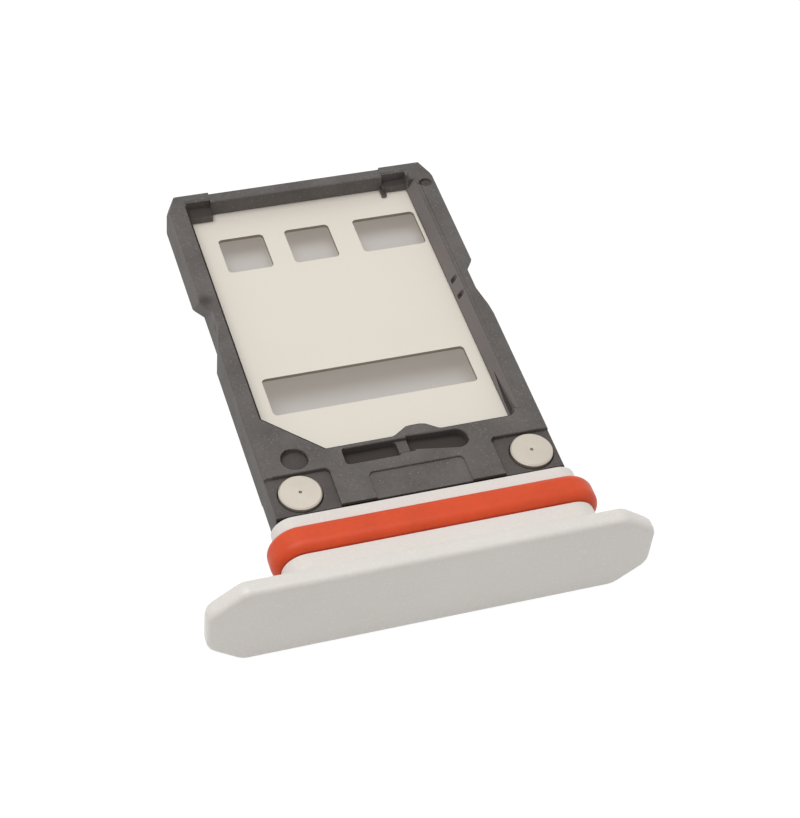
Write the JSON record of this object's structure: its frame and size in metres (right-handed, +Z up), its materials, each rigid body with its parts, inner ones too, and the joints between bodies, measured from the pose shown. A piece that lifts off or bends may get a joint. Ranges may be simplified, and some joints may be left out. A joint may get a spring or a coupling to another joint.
{
  "type": "sim card tray",
  "caption": "Riveted card tray for a phone: dark moulded frame with card bays on both faces, punched steel plate, rubber ring and pale painted end cap.",
  "frame": {"origin": "bottom centre of the box around the whole tray, level with the end cap's lower edge", "axes": "+X across the tray to the straight side, +Y from the end cap to the far end that goes into the phone first, +Z up through the card bay"},
  "size_m": [0.0158, 0.02, 0.0036],
  "materials": {
    "moulded_frame": "fine satin moulding",
    "plate_steel": "bead-blasted stainless sheet",
    "cap_paint": "fine pearl paint",
    "seal_rubber": "smooth silicone",
    "rivet_steel": "satin pressed head"
  },
  "bodies": {
    "root": {"tray_frame": "moulded_frame", "card_plate": "plate_steel", "end_cap": "cap_paint", "seal_ring": "seal_rubber", "rivet_left": "rivet_steel", "rivet_right": "rivet_steel"}
  },
  "joints": []
}
